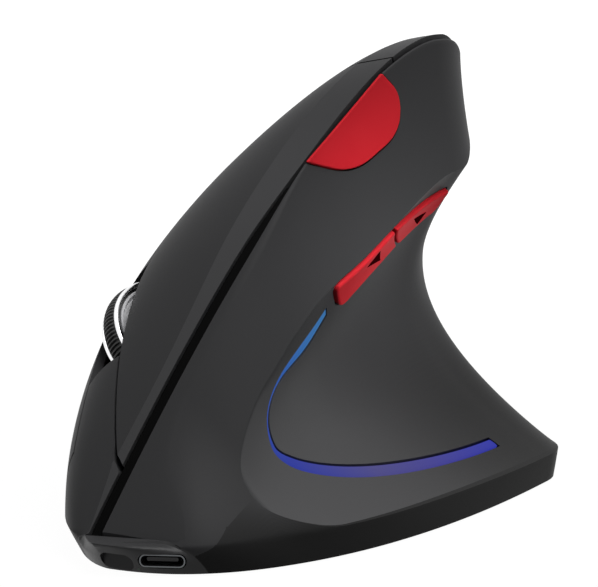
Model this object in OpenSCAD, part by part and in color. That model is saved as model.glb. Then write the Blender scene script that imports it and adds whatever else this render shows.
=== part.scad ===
// Vertical mouse for the right hand: front is -Y, thumb side is +X, the table is z = 0.
// One set of form lines gives the outside; every panel is a patch of it, a wall thick.

/* [Body] */
// Length from nose to heel
length = 112; // [106:0.5:118]
// Width across the foot
width = 67.5; // [64:0.5:72]
// Height of the ridge above the table
height = 75.6; // [72:0.2:80]
// Wall of the shells
wall = 2; // [1.6:0.1:2.2]
// Gap between a panel and its neighbour
gap = 0.4; // [0.3:0.05:0.5]

/* [Thumb rest] */
// Deepest point of the thumb hollow
hollow = 16.4; // [14:0.2:17]
// Height of the skirt under the hollow
skirt = 4.7; // [4:0.1:5.2]
// Width of the light strip at its broad end
strip_w = 1.7; // [1.2:0.1:2]
// Height the red buttons stand proud
proud = 0.8; // [0.5:0.1:1]

/* [Ridge] */
// Width of the dark band along the ridge
band_w = 2.16; // [1.9:0.02:2.3]

/* [Wheel] */
// Wheel across its rings
wheel_d = 23; // [22:0.5:24]
// Wheel width over both rings
wheel_w = 5; // [4.6:0.1:5.2]
// Height the wheel stands out of the finger side
wheel_out = 1.9; // [1.5:0.1:2.4]
// Ribs round the tyre
ribs = 48; // [36:2:60]

/* [Base] */
// Thickness of the base plate
base_t = 1.8; // [1.6:0.1:2]
// Height of the glide feet below the base plate
foot_h = 0.5; // [0.4:0.1:0.7]

/* [Hidden] */
$fn = 40;
kx = width / 67.5;
ky = length / 112;
kz = height / 75.6;
rim_z = 0.7;
run = 0.05;
base_z = foot_h;
floor_z = base_z + base_t;
board_z = floor_z + 4.7;
board_t = 1.2;
deck = board_z + board_t;
dark = "#262626";
red = "#b6252d";

// Small helpers
function clip(t) = min(max(t, 0), 1);
function mix(a, b, t) = a + (b - a) * t;
function smooth(t) = let (c = clip(t)) c * c * (3 - 2 * c);
function sup(t, n) = pow(max(1 - pow(min(abs(t), 1), n), 0), 1 / n);
function unit(v) = v / norm(v);
function span(a, b, n) = [for (i = [0:n]) mix(a, b, i / n)];
function to_pole(a, b, n) = [for (i = [0:n]) mix(a, b, sin(90 * i / n))];
function bezier(p, t) = pow(1 - t, 3) * p[0] + 3 * t * pow(1 - t, 2) * p[1]
  + 3 * t * t * (1 - t) * p[2] + pow(t, 3) * p[3];

// Form lines, drawn at the nominal size: plan outline, ridge in plan, ridge in height
nose_x = -4.5;
rear_x = -9.5;
half_x = 33.75;
function x_thumb(y) = y < 34 ? nose_x + (half_x - nose_x) * sup((34 - y) / 90, 2.36)
  : rear_x + (half_x - rear_x) * sup((y - 34) / 22, 2.16);
function x_finger(y) = y < 3.7 ? nose_x - (half_x + nose_x) * sup((3.7 - y) / 59.7, 1.56)
  : rear_x - (half_x + rear_x) * sup((y - 3.7) / 52.3, 2.6);
function z_ridge(y) = y < 29.7 ? 5 + 70.6 * (1 - pow(clip((29.7 - y) / 81.2), 1.6))
  : 7.5 + 68.1 * sqrt(max(1 - pow(clip((y - 29.7) / 26.3), 2.8), 0));
function x_ridge(y) = y < 29.7
  ? let (l = (y + 51.5) / 81.2, a = x_finger(y), b = x_thumb(y))
    min(max(-7.8 + 18.7 * l + 3.4 * l * (1 - l), mix(a, b, 0.15)), mix(a, b, 0.9))
  : let (q = (y - 29.7) / 26.3)
    rear_x + (10.9 - rear_x) * sup(q, 2) + 0.19 * (y - 29.7) * (1 - q) - 2.9 * smooth((y - 40) / 10) * sup(q, 4);
// Half of the band, and the lip of the thumb shell beside it
function ridge_fade(y) = smooth((y + 20) / 18);
function band_half(y) = mix(band_w / 2, 0.22, ridge_fade(y)) / kx;
function lip(y) = mix(1, 0.3, ridge_fade(y));
// Tuck-in of the skirt towards the table, then the scale to real size, centred over the origin
mid_x = 0.94;
function real(x, y, z) = let (k = 1 - 0.06 * max(1 - z * kz / skirt, 0)) [(x * k + mid_x) * kx, y * k * ky, z * kz];

// Thumb hollow: upper and lower crease, depth along the length
function crease_s(y) = 0.732 - 0.07 * smooth((y + 22) / 26) + 0.045 * smooth((y - 6) / 28)
  + 0.31 * smooth((y - 32) / 24);
function creases(y) = let (r = z_ridge(y), hi = crease_s(y) * r, lo = min(skirt / kz, 0.35 * r),
  c = sup(clip((-27 - y) / 11.4), 2.2), h = max((hi - lo) / 2 * c, 0.4)) [(hi + lo) / 2 - h, (hi + lo) / 2 + h];
function depth(y) = hollow / kx * (y < 30.5 ? pow(1 - pow(clip((30.5 - y) / 68.9), 2.2), 0.9)
  : sqrt(max(1 - pow((y - 30.5) / 25.5, 2.5), 0)));
function thumb_face(y, z) = let (
  x0 = x_ridge(y) + band_half(y) + lip(y), s = z / z_ridge(y), c = creases(y),
  g = 0.12 + 0.68 * smooth((y + 53) / 17) + 0.73 * smooth((y + 35) / 50),
  full = x0 + (x_thumb(y) - x0) * pow(max(1 - s, 0), g),
  w = clip((z - c[0]) / (c[1] - c[0])),
  least = min(x_ridge(y) + 0.22, finger_x(y, clip(s)) + 2.6 * wall))
  real(max(full - depth(y) * sin(180 * pow(w, 0.9)), least), y, z);
function thumb_n(y, z) = unit(cross(thumb_face(y + 0.1, z) - thumb_face(y - 0.1, z),
  thumb_face(y, z + 0.1) - thumb_face(y, z - 0.1)));
function hollow_z(y, w) = let (c = creases(y)) mix(c[0], c[1], w);

// Finger side: rounded face, then a flat bevel up to the band
function fold(y) = clip((y + 40) / 70);
function bevel_w(y) = 1.6 + 5 * smooth((y + 10) / 32) * (1 - 0.7 * smooth((y - 22) / 14));
function bevel_s(y) = let (r = bevel_w(y) / (x_ridge(y) - band_half(y) - x_finger(y)))
  max(pow(1 - pow(clip(r), 1 / mix(0.57, 0.49, fold(y))), 1 / mix(4.5, 0.85, fold(y))), 0.5);
function round_x(y, s) = let (x0 = x_ridge(y) - band_half(y))
  x0 + (x_finger(y) - x0) * pow(max(1 - pow(s, mix(4.5, 0.85, fold(y))), 0), mix(0.57, 0.49, fold(y)));
function finger_x(y, s) = let (b = bevel_s(y))
  min(s <= b ? round_x(y, s) : mix(round_x(y, b), x_ridge(y) - band_half(y), (s - b) / (1 - b)), x_ridge(y) - 0.22);
// Its edge stands a little above the thumb side at the crown
function crown(y, s) = 0.8 * smooth((y + 2) / 24) * (1 - smooth((y - 32) / 7)) * pow(clip(2 * s - 1), 2);
function finger_face(y, s) = real(finger_x(y, s), y, s * z_ridge(y) + crown(y, s));
function finger_at(y, z) = finger_face(y, clip(z / z_ridge(y)));
function finger_n(y, s) = let (z = min(s, 0.985) * z_ridge(y))
  unit(cross(finger_at(y, z + 0.05) - finger_at(y, z - 0.05), finger_at(y + 0.1, z) - finger_at(y - 0.1, z)));

// Seams on the finger side: rear end, edges of the strip that carries the wheel, lower edge
seam_rear = 18.5;
tip_left = -45.3;
tip_right = -40;
function seam_hi(y) = min(0.765 + 0.235 * pow(clip((seam_rear - y) / 63), 2.6), 0.98);
function seam_foot(y) = max(0.2, min(5.2 / z_ridge(y), 0.4));
function seam_lo(y) = max(seam_hi(y) - (5.2 + 1.8 * smooth((y + 30) / 10)) / z_ridge(y), mix(seam_foot(y), seam_hi(y), 0.5));
// The left plate's front edge slants back from the ridge to the seam
function slant(y) = let (d = y - tip_left) y + 6 * smooth(1 - (d < 0 ? -d / 6.5 : d / 16));
function lean(y, s, h) = let (l = seam_lo(y))
  mix(y, slant(y), clip(s > h ? (1 - s) / (1 - h) : (s - l) / (h - l)));
function plate_lo(y) = let (v = slant(y), h = seam_hi(v)) h + gap_s(v, h);
function gap_s(y, s) = 0.02 * gap / norm(finger_face(y, s + 0.01) - finger_face(y, s - 0.01));

// A skin from rows of [outer point, normal]: a wall inward, the last point squarely under the ridge
function pick(g, i, j) = g[min(max(i, 0), len(g) - 1)][j][0];
function quad(f, flip) = flip ? [[f[0], f[2], f[1]], [f[0], f[3], f[2]]] : [[f[0], f[1], f[2]], [f[0], f[2], f[3]]];
function thin(y) = mix(0.5, 1, smooth((y / ky + 52.5) / 9)) * (1 - 0.68 * smooth((y / ky - 47) / 6));
function under(t) = unit([0, t[2], -t[1]]);
module skin(g, side, drop, edge = 2, open = []) {
  n = len(g);
  m = len(g[0]);
  inner = [for (i = [0:n - 1]) [for (j = [0:m - 1]) g[i][j][0] + thin(g[i][j][0][1]) * (is_undef(g[i][j][1])
    ? edge * under(pick(g, i + 1, j) - pick(g, i - 1, j)) : -drop * (j == 0 ? unit([g[i][j][1][0], g[i][j][1][1], 0]) : g[i][j][1]))]];
  has = [for (i = [0:n - 2]) [for (j = [0:m - 2])
    len([for (o = open) if (i >= o[0] && i < o[1] && j >= o[2] && j < o[3]) 1]) == 0]];
  function on(i, j) = i >= 0 && i < n - 1 && j >= 0 && j < m - 1 && has[i][j];
  function at(i, j, k) = k * n * m + i * m + j;
  function cell(i, j) = concat(
    quad([at(i, j, 0), at(i, j + 1, 0), at(i + 1, j + 1, 0), at(i + 1, j, 0)], side < 0),
    quad([at(i, j, 1), at(i + 1, j, 1), at(i + 1, j + 1, 1), at(i, j + 1, 1)], side < 0),
    on(i, j - 1) ? [] : quad([at(i, j, 0), at(i + 1, j, 0), at(i + 1, j, 1), at(i, j, 1)], side < 0),
    on(i, j + 1) ? [] : quad([at(i, j + 1, 1), at(i + 1, j + 1, 1), at(i + 1, j + 1, 0), at(i, j + 1, 0)], side < 0),
    on(i - 1, j) ? [] : quad([at(i, j, 1), at(i, j + 1, 1), at(i, j + 1, 0), at(i, j, 0)], side < 0),
    on(i + 1, j) ? [] : quad([at(i + 1, j, 0), at(i + 1, j + 1, 0), at(i + 1, j + 1, 1), at(i + 1, j, 1)], side < 0));
  pts = concat([for (r = g) for (q = r) q[0]], [for (r = inner) each r]);
  polyhedron(pts, [for (i = [0:n - 2]) for (j = [0:m - 2]) if (has[i][j]) each cell(i, j)], convexity = 10);
}

// A pad on the thumb face: an outline of [y, z] points, from one depth along the normal to another
function middle(o) = [for (k = [0, 1]) let (v = [for (p = o) p[k]]) (min(v) + max(v)) / 2];
function grown(o, d) = let (n = len(o)) [for (i = [0:n - 1]) let (t = unit(o[(i + 1) % n] - o[(i + n - 1) % n]))
  o[i] + d * [t[1], -t[0]]];
function off_thumb(p, h) = thumb_face(p[0], p[1]) + h * thumb_n(p[0], p[1]);
module pad(o, hi, lo, taper = 1) {
  n = len(o);
  c = middle(o);
  rings = 3;
  function ring(h, s) = [for (k = [1:rings]) for (p = o) off_thumb(c + (p - c) * s * k / rings, h)];
  pts = concat([off_thumb(c, hi)], ring(hi, 1), [off_thumb(c, lo)], ring(lo, taper));
  b = 1 + rings * n;
  faces = concat(
    [for (i = [0:n - 1]) let (j = (i + 1) % n) each [[0, 1 + j, 1 + i], [b, b + 1 + i, b + 1 + j]]],
    [for (k = [0:rings - 2]) for (i = [0:n - 1]) let (j = (i + 1) % n, p = 1 + k * n, q = p + n)
      each concat(quad([p + i, p + j, q + j, q + i], false), quad([b + p + i, b + q + i, b + q + j, b + p + j], false))],
    [for (i = [0:n - 1]) let (j = (i + 1) % n, p = 1 + (rings - 1) * n)
      each quad([p + i, p + j, b + p + j, b + p + i], false)]);
  polyhedron(pts, faces, convexity = 6);
}
// Corners [y, z, reach] joined by straight runs and soft turns
function soft(c, n = 5) = let (m = len(c)) [for (i = [0:m - 1]) let (p = [c[i][0], c[i][1]], a = c[(i + m - 1) % m],
  b = c[(i + 1) % m], u = [a[0], a[1]] - p, v = [b[0], b[1]] - p,
  s = p + unit(u) * min(c[i][2], norm(u) * 0.48), e = p + unit(v) * min(c[i][2], norm(v) * 0.48))
  each [for (k = [0:n]) let (t = k / n) s * pow(1 - t, 2) + p * 2 * t * (1 - t) + e * t * t]];

// Outlines of the cap beside the ridge and of the two side buttons
function below(y, d) = [y, z_ridge(y) - d / kz];
cap = soft([for (p = [[-3.4, 0.7, 0.6], [5.6, 9.9, 5], [18, 11.4, 5], [20, 5.2, 3], [15.4, 0.7, 0.8]])
  [each below(p[0], p[1]), p[2]]]);
function in_hollow(p) = [p[0], hollow_z(p[0], p[1]), p[2]];
forward_o = soft([for (p = [[-3.4, 0.975, 1.6], [5.8, 0.733, 2.2], [15, 0.747, 9], [24.3, 0.762, 0.7],
  [17.3, 0.945, 0.7], [6, 0.964, 8]]) in_hollow(p)]);
back_o = soft([for (p = [[18.2, 0.943, 0.7], [25.2, 0.766, 0.7], [34.4, 0.795, 1.2], [33.2, 0.925, 1.2]]) in_hollow(p)]);
side_o = soft([for (p = [[-3.4, 0.975, 1.6], [5.8, 0.733, 2.2], [15, 0.747, 9], [24.75, 0.76, 2], [34.4, 0.795, 1.2],
  [33.2, 0.925, 1.2], [17.75, 0.947, 2], [6, 0.964, 8]]) in_hollow(p)]);

// Light strip: two arcs on the hollow, [y, z], and its width along the way
strip_a = [[-2.5, 33], [-9.5, 28.2], [-26.2, 25.6], [-26.4, 16.3]];
strip_b = [[-26.4, 16.3], [-26.6, 9.5], [-9, 7.6], [24.1, 7.9]];
strip_c = concat([for (i = [0:7]) bezier(strip_a, i / 7)], [for (i = [1:9]) bezier(strip_b, i / 9)]);
function strip_half(i) = (i < 8 ? mix(0.85, 0.6, i / 7) : mix(0.6, strip_w, smooth((i - 7) / 5))) / 2;
function strip_edge(i, d) = let (n = len(strip_c), t = unit(strip_c[min(i + 1, n - 1)] - strip_c[max(i - 1, 0)]))
  strip_c[i] + d * [t[1], -t[0]];
function strip_end(i, by) = let (n = len(strip_c)) i == 0 ? by * unit(strip_c[0] - strip_c[1])
  : i == n - 1 ? by * unit(strip_c[n - 1] - strip_c[n - 2]) : [0, 0];
function strip_loop(i, grow, hi, lo) = let (w = strip_half(i) + grow, e = strip_end(i, grow),
  a = strip_edge(i, w) + e, b = strip_edge(i, -w) + e) [for (q = [[a, lo], [b, lo], [b, hi], [a, hi]]) off_thumb(q[0], q[1])];
module tube(loops) {
  n = len(loops);
  m = len(loops[0]);
  polyhedron([for (l = loops) each l], concat([[for (j = [0:m - 1]) j]], [[for (j = [0:m - 1]) n * m - 1 - j]],
    [for (i = [0:n - 2]) for (j = [0:m - 1]) let (k = (j + 1) % m)
      each quad([i * m + j, (i + 1) * m + j, (i + 1) * m + k, i * m + k], false)]), convexity = 10);
}

// Frames: wheel works under the finger face, side works under the thumb face
module frame_at(o, x, y, z) multmatrix([[x[0], y[0], z[0], o[0]], [x[1], y[1], z[1], o[1]], [x[2], y[2], z[2], o[2]]])
  children();
wheel_o = finger_face(-20, 0.765);
wheel_x = finger_n(-20, 0.765);
wheel_t = unit([0, -1, 0] - wheel_x * (wheel_x * [0, -1, 0]));
wheel_z = cross(wheel_x, wheel_t) * cos(13.75) + wheel_t * sin(13.75);
wheel_y = cross(wheel_z, wheel_x);
wheel_r = wheel_d / 2;
axle_x = wheel_out - wheel_r;
module at_wheel() frame_at(wheel_o, wheel_x, wheel_y, wheel_z) children();
function thumb_frame(y, z, d) = let (x = thumb_n(y, z), t = unit(d - x * (x * d))) [thumb_face(y, z), x, t, cross(x, t)];
side_f = thumb_frame(16, hollow_z(16, 0.85), thumb_face(30, hollow_z(30, 0.86)) - thumb_face(4, hollow_z(4, 0.84)));
cap_f = thumb_frame(9.5, z_ridge(9.5) - 6 / kz, [0, 1, 0]);
module at_side() frame_at(side_f[0], side_f[1], side_f[2], side_f[3]) children();
module at_cap() frame_at(cap_f[0], cap_f[1], cap_f[2], cap_f[3]) children();
function local(f, p) = let (d = p - f[0]) [d * f[1], d * f[2], d * f[3]];
forward_p = local(side_f, off_thumb(middle(forward_o), 0));
back_p = local(side_f, off_thumb(middle(back_o), 0));
module along(x0, x1, y, z, r, n = 40) translate([x0, y, z]) rotate([0, 90, 0]) cylinder(r = r, h = x1 - x0, $fn = n);
module block(x, y, z) translate([x[0], y[0], z[0]]) cube([x[1] - x[0], y[1] - y[0], z[1] - z[0]]);

// Plan outline at the rim, for the base plate
rim_y = concat(span(-53.8, 36, 18), [for (i = [1:10]) to_pole(36, 56, 10)[i]]);
rim = concat([for (y = rim_y) let (p = finger_at(y, base_z / kz)) [p[0], p[1]]],
  [for (i = [len(rim_y) - 2:-1:0]) let (p = thumb_face(rim_y[i], base_z / kz)) [p[0], p[1]]]);

// Thumb side: one moulding with the hollow, open for the strip, the side buttons and the cap;
// its wall turns down before it reaches the plate across the ridge
function inward(y, z) = let (n = thumb_n(y, z), d = z < min(creases(y)[1], z_ridge(y) - 5) ? 0
  : max(real(x_ridge(y) + mix(0.3, 0.1, smooth((y - 30) / 12)), y, z)[0] - thumb_face(y, z)[0] + wall * n[0], 0) / wall) n + [-d, 0, d];
module thumb_shell() {
  ys = concat(span(-51.2, -40, 5), [-38.4, -37.6, -36, -33.5], span(-30, 28, 16), to_pole(31, 56, 11));
  function row(y) = let (c = creases(y), r = z_ridge(y), l = lip(y), top = r - 0.9 * l / kz,
    p = real(x_ridge(y) + band_half(y), y, r))
    concat([for (z = concat([rim_z / kz, (rim_z / kz + c[0]) / 2], [for (k = [0:11]) mix(c[0], c[1], k / 11)],
      [for (k = [1:6]) mix(c[1], top, k / 6)])) [thumb_face(y, z), inward(y, z)]], [[p, undef]]);
  color(dark) difference() {
    skin([for (y = ys) row(y)], 1, wall, 0.9);
    for (i = [0:len(strip_c) - 2]) hull() tube([for (k = [i, i + 1]) strip_loop(k, 0.12, 2, -wall - 2)]);
    pad(grown(side_o, gap), 3, -wall - 3);
    pad(grown(cap, gap), 4, -wall - 3);
    at_port() block([-3.95, 3.95], [0.3, 10.4], [0, port_p[2] + 1.35]);
  }
}

// Finger side: heel, foot strip, nose and the strip that holds the wheel, round two open windows
function finger_row(y, levels, h, top) = [for (i = [0:len(levels) - 1]) let (s = levels[i], v = lean(y, s, h))
  [finger_face(v, s), top && i == len(levels) - 1 ? undef : finger_n(v, s)]];
slot_a = -28.9;
slot_b = -9.4;
function stations(a, b) = concat([a], [for (y = concat(span(tip_left, tip_right, 3), span(tip_right, slot_a, 5),
  span(slot_a, slot_b, 6), span(slot_b, seam_rear, 9))) if (y > a + 0.8 && y < b - 0.8) y], [b]);
function unique(v) = [for (i = [0:len(v) - 1]) if (i == 0 || v[i] - v[i - 1] > 0.01) v[i]];
module finger_shell() {
  front = span(-52.4, tip_left, 5);
  mid = unique(stations(tip_left, seam_rear));
  ys = concat(front, [for (i = [1:len(mid) - 1]) mid[i]], [for (i = [1:12]) to_pole(seam_rear, 56, 12)[i]]);
  function row(y) = let (a = rim_z / z_ridge(y) / kz, f = seam_foot(y), l = seam_lo(y), h = seam_hi(slant(y)),
    b = max(bevel_s(y), (h + 1) / 2))
    finger_row(y, concat([a, (a + f) / 2], span(f, l, 5), span(h, b, 3), [1]), h, true);
  function index(y) = len([for (v = ys) if (v < y - 0.01) 1]);
  color(dark) skin([for (y = ys) row(y)], -1, wall, 1.3, [[index(tip_left), index(seam_rear), 8, 12],
    [index(tip_right), index(seam_rear), 2, 7], [index(slot_a), index(slot_b), 7, 8]]);
}

// Left button: the long plate beside the ridge, hinged at its rear edge
module left_button() {
  function row(y) = let (h = plate_lo(y), b = max(bevel_s(y), (h + 1) / 2))
    finger_row(y, concat(span(h, b, 5), [1]), h, true);
  color(dark) {
    skin([for (y = unique(stations(tip_left + 2 * gap, seam_rear - gap))) row(y)], -1, wall * 0.8, 1.2);
    at_wheel() along(-7.55, -3.6, 6, 9, 1.6);
  }
}

// Right button: the plate below the wheel
module right_button() {
  function row(y) = finger_row(y, span(seam_foot(y) + gap_s(y, seam_foot(y)),
    seam_lo(y) - gap_s(y, seam_lo(y)), 7), seam_hi(y), false);
  color(dark) {
    skin([for (y = unique(stations(tip_right + gap, seam_rear - gap))) row(y)], -1, wall * 0.8);
    at_wheel() along(-7.55, -5, 6, -15, 1.6);
  }
}

// Band: the dark strip let in along the ridge
module ridge_band() {
  function line(y) = real(x_ridge(y), y, z_ridge(y));
  function loop(y) = let (b = band_half(y) * kx, d = under(line(y + 0.2) - line(y - 0.2)))
    [for (p = [[0.3 - b, 0.45], [b - 0.2, 0.45], [b - 0.2, 1.35], [0.3 - b, 1.35]]) line(y) + [p[0], 0, 0] + p[1] * d];
  color("#0e0e0e") tube([for (y = span(-51.4, -9, 20)) loop(y)]);
}

// Cap beside the ridge and the two side buttons
module dpi_button() color(red) {
  pad(cap, proud, -1.2, 0.8);
  at_cap() along(-4, -1, 0, 0, 1.3);
}
module forward_button() color(red) {
  pad(forward_o, proud, -wall - 0.4);
  at_side() along(forward_p[0] - 4.4, forward_p[0] - 2, forward_p[1], forward_p[2], 1.2);
}
module back_button() color(red) {
  pad(back_o, proud, -wall - 0.4);
  at_side() along(back_p[0] - 4.4, back_p[0] - 2, back_p[1], back_p[2], 1.2);
}
module light_guide() color("#35679f") tube([for (i = [0:len(strip_c) - 1]) strip_loop(i, 0, 0, -wall - 0.6)]);

// Nose insert with the charging port and the finger notch
port_p = thumb_face(-54.3, 2.75 / kz);
module at_port() translate([port_p[0], port_p[1], 0]) rotate([0, 0, 22]) children();
module rounded_slot(w, h, y0, y1) translate([0, y1, port_p[2]]) rotate([90, 0, 0]) linear_extrude(y1 - y0) hull()
  for (s = [-1, 1]) translate([s * (w - h) / 2, 0]) circle(h / 2);
module front_bezel() {
  function loop(z) = concat([for (y = to_pole(-51.7, -56, 9)) thumb_face(y, z)],
    [for (i = [9:-1:0]) finger_at(mix(-52.8, -56, sin(90 * i / 9)), z)]);
  color("#4a4a4a") difference() {
    tube([for (z = [skirt / kz, 3.8, 2.8, 1.6, rim_z / kz]) loop(z)]);
    at_port() {
      rounded_slot(7.4, 2.6, -8, 8);
      block([-4.6, 4.6], [1, 12], [base_z + 0.3, port_p[2] + 1.35]);
    }
    translate([-1.5 * kx, -54.4 * ky, -0.8]) rotate([0, 0, 4]) rounded_slot(4.6, 2.6, -3, 0.8);
  }
}

// Base plate with posts for the main board and openings for the lens, the port and the slider
legs = [for (q = [[8.8, -23.5], [-0.2, 2], [-0.7, 13]]) [wheel_o[0] + q[0], q[1] * ky]];
posts = [[-5, -18], [8, -18], [-11, 31], [8, 31]];
slide_p = [-6, 20];
feet = [[-4, -38, 22, 7], [-1, 44, 30, 7], [24, 12, 7, 20], [-22.5, 26, 6, 14]];
module foot_2d(f) translate([f[0] * kx, f[1] * ky]) hull() for (s = [-1, 1])
  translate(f[2] > f[3] ? [s * (f[2] - f[3]) / 2, 0] : [0, s * (f[3] - f[2]) / 2]) circle(min(f[2], f[3]) / 2);
module base_plate() color("#1c1c1c") {
  difference() {
    translate([0, 0, base_z]) linear_extrude(base_t) offset(delta = -wall - 0.6) polygon(rim);
    for (f = feet) translate([0, 0, base_z - 1]) linear_extrude(1.3) foot_2d(f);
    translate([-3.5, -4, 0]) cube([7, 8, 5]);
    translate([slide_p[0] - 3.8, slide_p[1] - 1.9, 0]) cube([7.6, 3.8, 5]);
    at_port() block([-5.4, 5.4], [-2, 10.4], [base_z + 0.4, 9]);
    for (p = legs) translate([p[0], p[1], 0]) {
      cylinder(r = 1.1, h = 6);
      cylinder(r = 2.2, h = base_z + 0.9);
    }
  }
  for (p = posts) translate([p[0], p[1], floor_z - 0.2]) difference() {
    cylinder(r = 2.4, h = board_z - floor_z + 0.2);
    translate([0, 0, 1]) cylinder(r = 0.8, h = 8);
  }
}
module glide_feet() color("#d8d8d8") for (f = feet) linear_extrude(base_z + 0.3) offset(delta = -0.15) foot_2d(f);

// Wheel: hub, ribbed tyre between two rings, axle in a cradle that presses in
module wheel_tyre() color("#1b1b1b") at_wheel() translate([axle_x, 0, -wheel_w * 0.31]) difference() {
  linear_extrude(wheel_w * 0.62) polygon([for (i = [0:ribs * 4 - 1]) let (r = wheel_r + (i % 4 < 2 ? 0.15 : -0.3))
    r * [cos(i * 90 / ribs), sin(i * 90 / ribs)]]);
  translate([0, 0, -1]) cylinder(r = wheel_r - 2.5, h = 9);
}
module wheel_rings() color("#dcdcdc") at_wheel() for (s = [-1, 1])
  translate([axle_x, 0, s * wheel_w * 0.405 - wheel_w * 0.095]) difference() {
    cylinder(r = wheel_r, h = wheel_w * 0.19);
    translate([0, 0, -1]) cylinder(r = wheel_r - 2, h = 9);
  }
module wheel_hub() color("#b9b9b9") at_wheel() translate([axle_x, 0, 0]) rotate_extrude()
  polygon([[1, -2], [wheel_r - 2.5, -2], [wheel_r - 2.5, 2], [wheel_r - 3.4, 2], [wheel_r - 3.8, 1.4],
    [wheel_r - 5, 1.4], [wheel_r - 5.4, 2.2], [1, 2.2]]);
module wheel_axle() color("#9a9a9a") at_wheel() translate([axle_x, 0, -9]) cylinder(r = 1, h = 14.2);
rail = wheel_w / 2 + 0.8;
bar = wheel_r + 0.7;
module wheel_cradle() color("#3a3a3a") at_wheel() difference() {
  union() {
    block([axle_x - 2.2, axle_x + 2.2], [-bar - 4.2, bar + 4.2], [-rail - 2, rail + 2]);
    block([axle_x - 0.3, axle_x + 2], [-bar - 10, -bar], [-2.5, 2.5]);
    for (s = [-1, 1]) along(-19, axle_x, s * (bar + 2.4), 0, 1.2);
  }
  block([axle_x - 9, axle_x + 9], [-bar, bar], [-rail, rail]);
  translate([axle_x, 0, -20]) cylinder(r = 1 + run, h = 40);
}
module wheel_encoder() color("#7f8a3a") at_wheel() difference() {
  block([-14, -5.6], [-4.4, 4.4], [-rail - 7.6, -rail - 2]);
  translate([axle_x, 0, -20]) cylinder(r = 1 + run, h = 40);
}
module wheel_switch() color("#555555") at_wheel() {
  block([-15.2, -11.8], [-bar - 9.6, -bar - 4.6], [-2.8, 2.8]);
  along(-11.9, -10.6, -bar - 7.1, 0, 1.5);
}

// Board under the finger face with the two main switches, held on three legs
module button_board() color("#1f5a2e") at_wheel() difference() {
  translate([-16.8, 0, 0]) rotate([90, 0, 90]) linear_extrude(1.6)
    polygon([[bar + 4.6, -18.4], [bar + 4.6, 12.4], [-2, 12.4], [-6, 7], [-bar - 10.5, 7], [-bar - 10.5, -9],
      [-bar, -9], [-bar, -18.4]]);
  block([-20, -10], [-bar - 0.2, bar + 0.2], [-rail, rail]);
  for (s = [-1, 1]) along(-20, -10, s * (bar + 2.4), 0, 1.2 + run);
}
module board_bracket() color("#3a3a3a") difference() {
  union() for (q = [[0, 12, -8], [1, -12, -8], [2, -21, -4]]) hull() {
    at_wheel() along(-17.6, -16.8, q[1], q[2], 1.8, 16);
    translate([legs[q[0]][0], legs[q[0]][1], floor_z]) cylinder(r = 2.6, h = 2.4, $fn = 20);
  }
  for (p = legs) translate([p[0], p[1], 0]) cylinder(r = 0.8, h = floor_z + 5);
}
module switch_body(y, z) at_wheel() difference() {
  block([-15.2, -9], [y - 6.4, y + 6.4], [z - 2.9, z + 2.9]);
  along(-11.2, -8, y, z, 0.9 + run);
}
module left_switch() color("#2b2b2b") switch_body(6, 9);
module right_switch() color("#2b2b2b") switch_body(6, -15);
module left_plunger() color("#d8d2c0") at_wheel() along(-10, -7.6, 6, 9, 0.9);
module right_plunger() color("#d8d2c0") at_wheel() along(-10, -7.6, 6, -15, 0.9);

// Boards behind the side buttons and the cap
module tact(p) {
  block([p[0] - 9, p[0] - 5.8], [p[1] - 2.6, p[1] + 2.6], [p[2] - 2.2, p[2] + 2.2]);
  along(p[0] - 5.9, p[0] - 5, p[1], p[2], 1.1);
}
side_x = max(forward_p[0], back_p[0]) - 9;
module side_board() color("#1f5a2e") at_side() block([side_x - 1.2, side_x], [side_q[0][1] - 2.5, side_q[1][1] + 2.5], [-4, 2.4]);
module side_switches() color("#555555") at_side() for (p = [forward_p, back_p]) {
  block([side_x, p[0] - 5.8], [p[1] - 2.6, p[1] + 2.6], [p[2] - 2.2, p[2] + 2.2]);
  along(p[0] - 5.9, p[0] - 5, p[1], p[2], 1.1);
}
side_q = [for (q = [[-8, 0.86], [39, 0.87]]) local(side_f, off_thumb([q[0], hollow_z(q[0], q[1])], -wall - 0.9))];
module side_posts() color("#3a3a3a") at_side() for (q = side_q) along(side_x, q[0], q[1], q[2], 1.3);
module dpi_board() color("#1f5a2e") at_cap() block([-9.2, -8.2], [-4, 4], [cap_q[2] - 1.6, 2.6]);
module dpi_switch() color("#555555") at_cap() {
  block([-8.2, -5.3], [-2.4, 2.4], [-2.2, 2.2]);
  along(-5.4, -4.6, 0, 0, 1.1);
}
cap_q = local(cap_f, off_thumb(below(9.5, 13.4), -wall - 0.6));
module dpi_post() color("#3a3a3a") at_cap() along(-8.2, cap_q[0], 0, cap_q[2], 1.3);

// Main board: sensor and lens, battery, light source, power switch
module main_board() color("#1f5a2e") difference() {
  translate([0, 0, board_z]) linear_extrude(board_t) polygon([[-8, -24], [11, -24], [11, 35], [-14, 35], [-14, -9], [-8, -14]]);
  for (p = posts) translate([p[0], p[1], board_z - 1]) cylinder(r = 0.9, h = 4);
}
module board_screws() color("#8c8c8c") for (p = posts) translate([p[0], p[1], deck]) {
  translate([0, 0, -4]) cylinder(r = 0.75, h = 4);
  cylinder(r = 1.7, h = 1.2);
}
module base_screws() color("#8c8c8c") for (p = legs) translate([p[0], p[1], base_z]) {
  translate([0, 0, 0.15]) cylinder(r = 2, h = 0.75);
  translate([0, 0, 0.9]) cylinder(r = 0.75, h = 5);
}
module sensor_chip() color("#151515") block([-4.5, 4.5], [-6, 6], [board_z - 2.4, board_z]);
module sensor_lens() color("#cfd6da") {
  block([-5, 5], [-6, 6], [floor_z, board_z - 2.4]);
  translate([0, 0, base_z + 0.5]) cylinder(r = 2.4, h = 3);
}
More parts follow.
